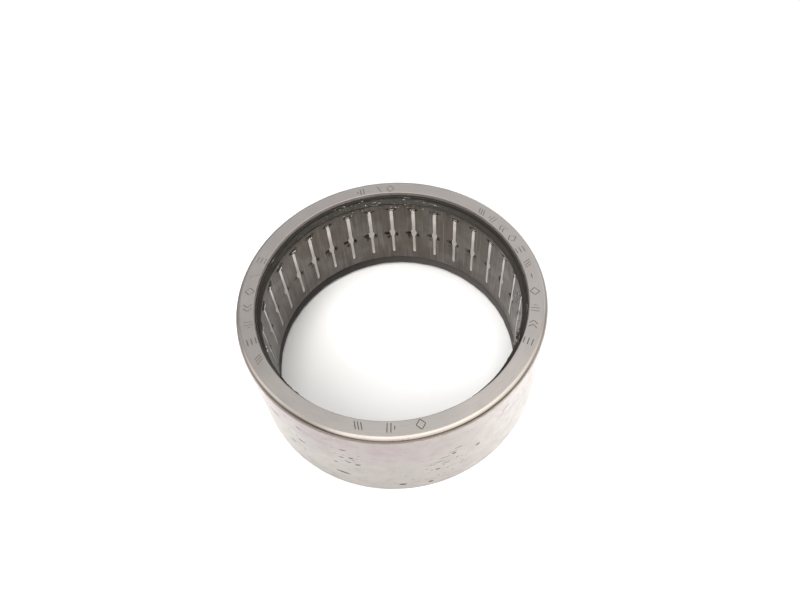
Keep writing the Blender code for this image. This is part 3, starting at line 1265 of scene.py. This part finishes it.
def drop(bm, degrees, radius, z, half, seed, rough=0.3, tilt=0.0, detail=2):
    """An uneven flattened ball lying on the bore; half sizes are (round, up, inward)."""
    angle = math.radians(degrees)
    tangent = Vector((-math.sin(angle), math.cos(angle), 0.0))
    inward = Vector((-math.cos(angle), -math.sin(angle), 0.0))
    axis = Vector((0.0, 0.0, 1.0))
    cosine, sine = math.cos(math.radians(tilt)), math.sin(math.radians(tilt))
    along = cosine * tangent + sine * axis
    upward = -sine * tangent + cosine * axis
    centre = -inward * radius * MM + axis * z * MM
    shift = Vector((seed * 3.1, seed * 1.7, 0.5))
    made = bmesh.ops.create_icosphere(bm, subdivisions=detail, radius=1.0)
    for vert in made["verts"]:
        ball = vert.co
        swell = 1.0 + rough * noise.noise(ball * 1.4 + shift)
        vert.co = centre + MM * swell * (
            along * ball.x * half[0] + upward * ball.y * half[1] + inward * ball.z * half[2]
        )


def seal_radius(z, degrees):
    """Bore radius of the upper seal at a height and angle, with the lip's lean."""
    share = (Z_TOP / MM - z - LIP_THICKNESS / MM - 0.05) / 2.0
    radius = SEAL_BORE[-1][1]
    for (share_0, radius_0), (share_1, radius_1) in zip(SEAL_BORE, SEAL_BORE[1:]):
        if share <= share_1:
            radius = radius_0 + (radius_1 - radius_0) * (share - share_0) / (share_1 - share_0)
            break
    lean = max(0.0, min(1.0, (25.35 - radius) / 0.6))
    turn = math.radians(degrees)
    return radius + lean * (UPPER_LEAN[0] * math.cos(turn) + UPPER_LEAN[1] * math.sin(turn))


def pocket_beads(bm):
    """Oil caught at the upper end of each pocket."""
    rng = random.Random(11)
    top = CAGE_Z / MM + 7.12
    for i in range(NEEDLES):
        middle = math.degrees(needle_angle(i))
        side = rng.choice((-1.0, 1.0))
        drop(
            bm,
            middle + DEGREES_PER_MM * rng.uniform(-0.12, 0.12),
            radius=25.06,
            z=top + rng.uniform(0.0, 0.12),
            half=(rng.uniform(0.26, 0.42), rng.uniform(0.10, 0.15), 0.12),
            seed=i + 0.1, rough=0.4, tilt=rng.uniform(-14, 14),
        )
        drop(
            bm,
            middle + DEGREES_PER_MM * side * rng.uniform(0.38, 0.62),
            radius=25.05,
            z=top + rng.uniform(0.10, 0.40),
            half=(rng.uniform(0.14, 0.24), rng.uniform(0.08, 0.13), 0.11),
            seed=i + 0.4, rough=0.5, tilt=rng.uniform(-40, 40),
        )
        if rng.random() < 0.75:
            drop(
                bm,
                middle - DEGREES_PER_MM * side * rng.uniform(0.55, 0.95),
                radius=25.03,
                z=top + rng.uniform(0.25, 0.70),
                half=(rng.uniform(0.08, 0.22), rng.uniform(0.05, 0.09), 0.07),
                seed=i + 0.7, rough=0.5, tilt=rng.uniform(-30, 30),
            )


def cage_beads(bm):
    """Drops on the right of the cage's bore, and smears high on its back."""
    rng = random.Random(29)
    for k in range(13):
        drop(
            bm, rng.uniform(-14, 14), radius=25.02, z=rng.uniform(14.0, 19.8),
            half=(rng.uniform(0.07, 0.16), rng.uniform(0.10, 0.40), 0.05),
            seed=50 + k, rough=0.6, tilt=rng.uniform(-20, 20),
        )
    for k in range(16):
        degrees = rng.choice(
            (rng.uniform(70, 92), rng.uniform(96, 118), rng.uniform(128, 160))
        )
        drop(
            bm, degrees, radius=25.03, z=rng.uniform(19.85, 20.45),
            half=(rng.uniform(0.08, 0.30), rng.uniform(0.04, 0.09), 0.06),
            seed=90 + k, rough=0.5, tilt=rng.uniform(-12, 12),
        )


# Larger beads at the back of the upper seal: degrees, height, half length.
LARGE_SEAL_BEADS = (
    (103.2, 22.5, 0.28), (84.2, 21.2, 0.35), (82.6, 21.35, 0.22),
    (115.3, 21.3, 0.25), (78.0, 21.3, 0.3),
)


def seal_beads(bm):
    """Oil and grease in drops and short streaks on the bore of the upper seal."""
    rng = random.Random(5)
    for k in range(44):
        degrees = rng.choice((
            rng.uniform(68, 90),
            rng.uniform(94, 124),
            rng.uniform(94, 124),
            rng.uniform(20, 170),
        ))
        z = rng.uniform(21.15, 22.75)
        streak = rng.random() < 0.35
        drop(
            bm, degrees, radius=seal_radius(z, degrees) + 0.01, z=z,
            half=(
                rng.uniform(0.30, 1.00) if streak else rng.uniform(0.06, 0.18),
                rng.uniform(0.035, 0.07) if streak else rng.uniform(0.05, 0.11),
                0.05,
            ),
            seed=200 + k, rough=0.5, tilt=rng.uniform(-6, 6),
        )
    for degrees, z, along in LARGE_SEAL_BEADS:
        drop(
            bm, degrees, radius=seal_radius(z, degrees), z=z,
            half=(along, 0.12, 0.10), seed=degrees, rough=0.5,
        )


def grease_curl(bm):
    """Old grease and a rolled shred of the lip, standing off the upper seal in one place."""
    rng = random.Random(3)
    for k in range(18):
        share = k / 17
        degrees = 333.8 + 4.6 * share + rng.uniform(-0.4, 0.4)
        z = 21.3 + 1.5 * share + rng.uniform(-0.15, 0.15)
        radius = 24.48 + 0.16 * math.sin(5 * share) + rng.uniform(-0.12, 0.10)
        size = 0.22 + 0.22 * math.sin(math.pi * min(1.0, 0.2 + 0.8 * share))
        drop(
            bm, degrees, radius=radius, z=min(z, 23.2),
            half=(size * rng.uniform(0.8, 1.4), size * rng.uniform(0.7, 1.2), size * 0.8),
            seed=300 + k, rough=0.7, tilt=rng.uniform(-50, 50), detail=3,
        )


def curl_lumps(bm):
    """The darker lumps round the curl."""
    rng = random.Random(4)
    for k in range(12):
        degrees = 333.2 + 5.6 * (k / 11) + rng.uniform(-0.5, 0.5)
        z = rng.choice((21.15, 22.9)) + rng.uniform(-0.2, 0.2)
        drop(
            bm, degrees, radius=24.48 + rng.uniform(-0.1, 0.1), z=z,
            half=(rng.uniform(0.15, 0.40), rng.uniform(0.12, 0.26), 0.20),
            seed=340 + k, rough=0.7, tilt=rng.uniform(-50, 50), detail=3,
        )


def lip_shred(bm):
    """A thin curled strand torn from the lip, lying along the upper seal."""
    for k in range(34):
        share = k / 33
        degrees = 352.5 - 15.0 * share
        z = 22.38 + 0.06 * math.sin(7 * share)
        drop(
            bm, degrees, radius=seal_radius(z, degrees) - 0.06, z=z,
            half=(0.22, 0.06, 0.08), seed=700 + k, rough=0.25, tilt=-2.0,
        )


def greasy_pockets():
    """The pockets on the left that hold lumps: (index, degrees, height, glints).

    Every pocket draws its numbers, so that those of one do not hang on which others are used."""
    rng = random.Random(17)
    for i in range(NEEDLES):
        middle = math.degrees(needle_angle(i)) % 360
        shift, lift = rng.uniform(-0.15, 0.15), rng.uniform(-0.05, 0.08)
        # Each glint: distance round, height, half length, tilt.
        glints = [
            (
                rng.uniform(-0.5, 0.35),
                rng.uniform(-0.18, 0.20),
                rng.uniform(0.14, 0.32),
                rng.uniform(-25, 35),
            )
            for _ in range(4)
        ]
        if 132 < middle < 212:
            yield i, middle, shift, lift, glints


def pocket_lumps(bm):
    """Dark lumps over the pockets: grease, and dark pieces put where the gaps at the pockets'
    upper ends lie in shade.
    """
    for i, middle, shift, lift, _ in greasy_pockets():
        drop(
            bm, middle + DEGREES_PER_MM * shift, radius=24.98, z=19.12 + lift,
            half=(0.84, 0.44, 0.22), seed=600 + i, rough=0.6, tilt=12.0,
        )
        drop(
            bm, middle + DEGREES_PER_MM * (shift - 0.70), radius=24.98, z=19.55 + lift,
            half=(0.42, 0.28, 0.16), seed=640 + i, rough=0.7, tilt=-20.0,
        )


def pocket_glints(bm):
    """Wet glints on the lumps."""
    for i, middle, shift, lift, glints in greasy_pockets():
        for k, (offset, z, along, tilt) in enumerate(glints):
            drop(
                bm, middle + DEGREES_PER_MM * (shift + offset), radius=24.81,
                z=19.12 + lift + z, half=(along, 0.11, 0.11),
                seed=660 + 4 * i + k, rough=0.4, tilt=tilt,
            )


def cage_smears(bm):
    """Brown grease dragged over the right of the cage, thickest near the top."""
    rng = random.Random(41)
    for k in range(30):
        drop(
            bm, rng.uniform(-16, 9), radius=25.03, z=19.0 - 8.5 * rng.random() ** 1.4,
            half=(rng.uniform(0.12, 0.42), rng.uniform(0.25, 0.95), 0.06),
            seed=800 + k, rough=0.7, tilt=rng.uniform(-14, 14),
        )


def cage_specks(bm):
    """Dark lumps among the brown grease."""
    rng = random.Random(43)
    for k in range(16):
        drop(
            bm, rng.uniform(-16, 12), radius=25.02, z=rng.uniform(11.0, 19.8),
            half=(rng.uniform(0.10, 0.24), rng.uniform(0.12, 0.50), 0.08),
            seed=860 + k, rough=0.7, tilt=rng.uniform(-30, 30),
        )


# Stretches of the upper lip with smears: from, to (degrees), count.
LIP_SMEARS = ((216, 247, 40), (296, 332, 46), (60, 140, 50), (190, 216, 14))


def lip_smears(bm):
    """Smears that make the lip's edge uneven where it shows against the floor."""
    rng = random.Random(8)
    for start, end, count in LIP_SMEARS:
        for k in range(count):
            degrees = rng.uniform(start, end)
            z = rng.uniform(21.1, 21.75)
            drop(
                bm, degrees, radius=seal_radius(z, degrees) + 0.02, z=z,
                half=(
                    rng.uniform(0.15, 0.7),
                    rng.uniform(0.05, 0.14),
                    rng.uniform(0.05, 0.11),
                ),
                seed=400 + k + start, rough=0.6, tilt=rng.uniform(-8, 8),
            )


def build_grease():
    beads = bead_material()
    brown = grease_material()
    bright = glint_material()
    dark = dark_grease_material()
    for name, build, material, body in (
        ("oil_beads_at_pockets", pocket_beads, beads, "cage"),
        ("oil_smears_on_cage", cage_beads, beads, "cage"),
        ("oil_beads_on_seal", seal_beads, beads, "cup"),
        ("grease_smears_on_cage", cage_smears, brown, "cage"),
        ("grease_specks_on_cage", cage_specks, dark, "cage"),
        ("grease_curl_on_seal", grease_curl, brown, "cup"),
        ("grease_lumps_by_curl", curl_lumps, dark, "cup"),
        ("lip_shred_on_seal", lip_shred, bright, "cup"),
        ("grease_lumps_at_pockets", pocket_lumps, dark, "cage"),
        ("oil_glints_at_pockets", pocket_glints, bright, "cage"),
        ("grease_along_lip", lip_smears, dark, "cup"),
    ):
        piece = bmesh_object(name, build)
        recalculate_normals(piece.data)
        piece.data.shade_smooth()
        piece.data.materials.append(material)
        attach(piece, body)


# ---------------------------------------------------------------- stage & light
def build_floor():
    half = 2.0
    corners = [(-half, -half, 0), (half, -half, 0), (half, half, 0), (-half, half, 0)]
    floor = mesh_object("studio_floor", corners, [(0, 1, 2, 3)])
    floor.location.z = Z_BOTTOM - 0.00005  # just clear of the cup
    white = Surface("studio_floor_white")
    tone = white.noise(scale=0.02, detail=3.0, roughness=0.5)
    floor.data.materials.append(white.finish({
        "Base Color": white.mix(low=(0.86, 0.855, 0.845), high=(0.88, 0.875, 0.87), by=tone),
        "Roughness": 0.85,
        "Specular IOR Level": 0.1,
    }))


# The room's brightness by height: sine of the elevation, radiance.
WORLD_STOPS = (
    (0.0, 0.80), (0.50, 0.88), (0.66, 0.92), (0.705, 0.96), (0.72, 0.90), (0.75, 0.83),
    (0.79, 0.75), (0.83, 0.79), (0.86, 0.95), (0.90, 1.14), (0.93, 1.14), (1.0, 1.14),
)

# The arch lamp, by the direction round a ring's edge that it lights (-1 at the left, 1 at the
# right): where it ends, how bright it is, and how bright the room below it is.
ARCH = (
    (-1.000, 0.860, 0.85, 0.95), (-0.985, 0.840, 1.00, 0.95), (-0.973, 0.780, 1.25, 1.05),
    (-0.920, 0.760, 1.75, 1.00), (-0.840, 0.820, 1.35, 0.70), (-0.640, 0.850, 1.05, 0.55),
    (-0.500, 0.800, 1.50, 0.50), (-0.360, 0.730, 2.40, 0.50), (-0.020, 0.660, 2.50, 0.52),
    (0.325, 0.700, 2.45, 0.55), (0.620, 0.690, 2.25, 0.56), (0.830, 0.710, 1.85, 0.76),
    (0.920, 0.680, 1.65, 1.10), (0.976, 0.660, 1.45, 1.20), (0.998, 0.720, 1.00, 1.00),
    (1.000, 0.720, 0.90, 1.00),
)
ARCH_FULL = 3.0  # lamp brightness that fills the ramp's green channel
TOWARDS_VIEWER = (0.03, -0.41, 0.911)


def room_colour(room, direction):
    """A plain room, bright overhead and brighter towards the right."""
    x, _, z = room.split(direction)
    full = max(radiance for _, radiance in WORLD_STOPS)
    greys = [(position, (radiance / full,) * 3) for position, radiance in WORLD_STOPS]
    side = 1.0 + x * 0.46
    colour = room.mix(
        low=room.colour_ramp(z, greys), high=(1.0, 0.982, 0.972), by=1.0, blend_type="MULTIPLY"
    )
    return room.scaled(colour, by=side * full)


def with_arch(room, direction, colour):
    """Add an arch-shaped soft box overhead, and below it the dim brown side of the room.

    Both are drawn against the half-way vector, so that the arch follows a ring's rounded edge."""
    total = room.value(
        "ShaderNodeVectorMath", {0: direction, 1: TOWARDS_VIEWER}, operation="ADD"
    )
    x, y, z = room.split(
        room.value("ShaderNodeVectorMath", {0: total}, operation="NORMALIZE")
    )
    across = x / room.math("SQRT", x * x + y * y + 1e-6)
    table = room.colour_ramp(
        across * 0.5 + 0.5,
        [
            (0.5 + 0.5 * position, (end, lamp / ARCH_FULL, below))
            for position, end, lamp, below in ARCH
        ],
    )
    end, lamp, dimness = room.split(table, kind="ShaderNodeSeparateColor")
    front = y.ease(over=(0.02, -0.03))
    lit = (z - end).ease(over=(-0.035, 0.035))
    arch = z.ease(over=(0.992, 0.976)) * lit * front
    dim = (1.0 - lit) * z.ease(over=(0.38, 0.50), to=(0.3, 1.0)) * front
    lamp_tint = tuple(ARCH_FULL * part for part in (1.0, 0.965, 0.885))
    colour = room.mix(low=colour, high=room.scaled((1.0, 0.93, 0.87), by=dimness), by=dim)
    return room.mix(low=colour, high=room.scaled(lamp_tint, by=lamp), by=arch)


def build_world():
    world = bpy.data.worlds.new("studio_room")
    bpy.context.scene.world = world
    world.use_nodes = True
    room = NodeTree(world.node_tree)
    direction = room.value("ShaderNodeTexCoord", output="Generated")
    path = room.add("ShaderNodeLightPath")
    camera_ray = Value(room, path.outputs["Is Camera Ray"])
    diffuse_ray = Value(room, path.outputs["Is Diffuse Ray"])
    # Diffuse light comes mostly from the lamps, not from the room.
    seen_in_metal = room.value(
        "ShaderNodeBackground",
        {
            "Color": with_arch(room, direction, room_colour(room, direction)),
            "Strength": 1.0 - diffuse_ray * 0.85,
        },
    )
    # What the camera sees past the floor is a plain pale wall.
    wall = room.value(
        "ShaderNodeBackground", {"Color": (1.0, 1.0, 1.0, 1.0), "Strength": 1.0}
    )
    shown = room.value("ShaderNodeMixShader", {0: camera_ray, 1: seen_in_metal, 2: wall})
    room.add("ShaderNodeOutputWorld", {0: shown})


ABOVE_CENTRE = (0.0, 0.0, 0.01)
# Soft boxes: name, place, the point they face, width, height (None if square), watts.
SOFT_BOXES = (
    ("overhead_box", (0.0, 0.08, 0.60), (0.0, 0.02, 0.0), 0.36, None, 2.43),
    ("left_box", (-0.212, -0.130, 0.42), ABOVE_CENTRE, 0.22, None, 0.17),
    ("right_box", (0.249, -0.091, 0.424), ABOVE_CENTRE, 0.20, None, 0.10),
    ("front_box", (-0.112, -0.240, 0.424), ABOVE_CENTRE, 0.20, None, 1.12),
    ("front_low_box", (-0.162, -0.347, 0.321), ABOVE_CENTRE, 0.20, None, 1.30),
    ("low_right_box", (0.070, -0.045, 0.030), (0.036, -0.022, 0.0), 0.03, 0.04, 0.064),
    ("low_left_box", (-0.060, 0.010, 0.030), (-0.040, -0.010, 0.0), 0.03, 0.04, 0.023),
)


def build_lights():
    """Soft boxes that light the floor but stay out of the metal's reflections."""
    for name, place, target, width, height, watts in SOFT_BOXES:
        light = bpy.data.lights.new(name, "AREA")
        light.energy = watts
        light.size = width
        if height is not None:
            light.shape = "RECTANGLE"
            light.size_y = height
        lamp = link_object(name, light)
        lamp.location = place
        aim = Vector(target) - Vector(place)
        lamp.rotation_euler = aim.to_track_quat("-Z", "Y").to_euler()
        lamp.visible_glossy = False
        lamp.visible_camera = False


def build_camera():
    """A camera in front and above, aimed down at the bearing's middle and slid a little."""
    elevation, roll = 0.92069, -0.04873  # radians
    distance = 127.24 * MM
    slide_right, slide_up = -4.160 * MM, -12.176 * MM  # of the bearing in the view
    forward = Vector((0.0, math.cos(elevation), -math.sin(elevation)))
    level = Vector((1.0, 0.0, 0.0))
    upright = level.cross(forward)
    cosine, sine = math.cos(roll), math.sin(roll)
    right = cosine * level + sine * upright
    up = -sine * level + cosine * upright
    data = bpy.data.cameras.new("studio_camera")
    data.sensor_fit = "HORIZONTAL"
    data.sensor_width = 36.0
    data.lens = 28.4319
    data.shift_x = -0.0192375
    data.shift_y = -0.04335
    data.clip_start = 0.005
    data.clip_end = 20.0
    camera = link_object("studio_camera", data)
    matrix = Matrix((right, up, -forward)).transposed().to_4x4()
    matrix.translation = (
        Vector((0.0, 0.0, Z_MID)) - forward * distance - right * slide_right - up * slide_up
    )
    camera.matrix_world = matrix
    bpy.context.scene.camera = camera


build_cup()
build_seals()
build_cage()
build_needles()
build_grease()
build_floor()
build_world()
build_lights()
build_camera()

view = bpy.context.scene.view_settings
view.view_transform = "Standard"
view.look = "None"
view.exposure = 0.0
view.gamma = 1.0
